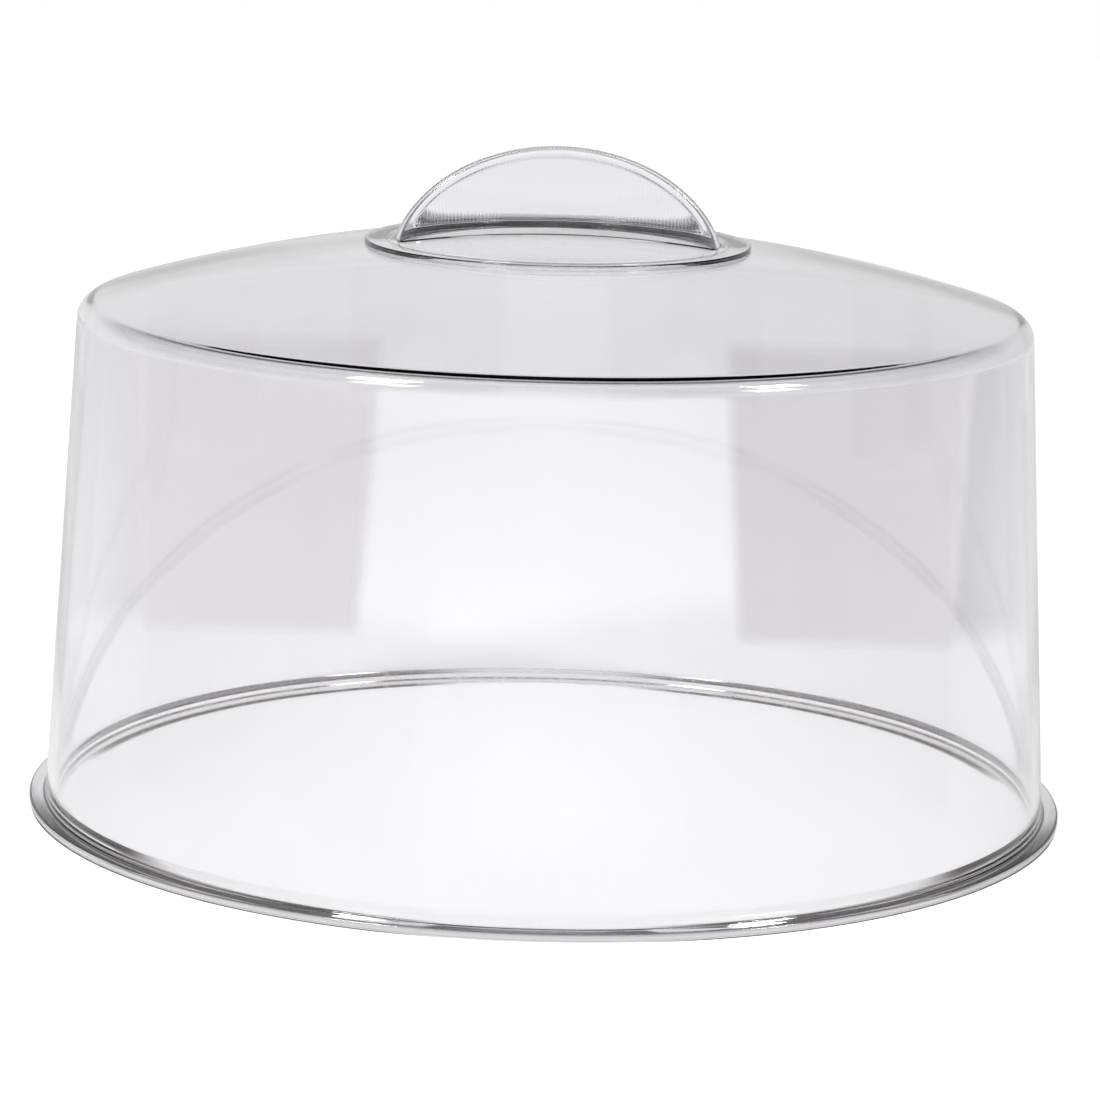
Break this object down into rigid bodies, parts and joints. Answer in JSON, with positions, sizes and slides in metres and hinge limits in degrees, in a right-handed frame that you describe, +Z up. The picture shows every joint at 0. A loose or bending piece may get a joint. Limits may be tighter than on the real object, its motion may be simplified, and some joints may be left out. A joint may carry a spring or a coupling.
{
  "type": "cake cover",
  "caption": "Clear domed cake cover: drafted round drum with a flanged rim and a ribbed half-moon lift handle.",
  "frame": {"origin": "centre of the open mouth, on the plane that the rim's underside rests on", "axes": "+Z up through the crown and the handle, +X along the handle's fin"},
  "size_m": [0.324, 0.324, 0.2056],
  "materials": {
    "clear_shell": "clear rigid plastic, polished, with a slight cool tint",
    "clear_handle": "clear rigid plastic, polished, with fine upright grip ribs on both faces of the fin"
  },
  "bodies": {
    "root": {"cover_shell": "clear_shell", "handle": "clear_handle"}
  },
  "joints": []
}
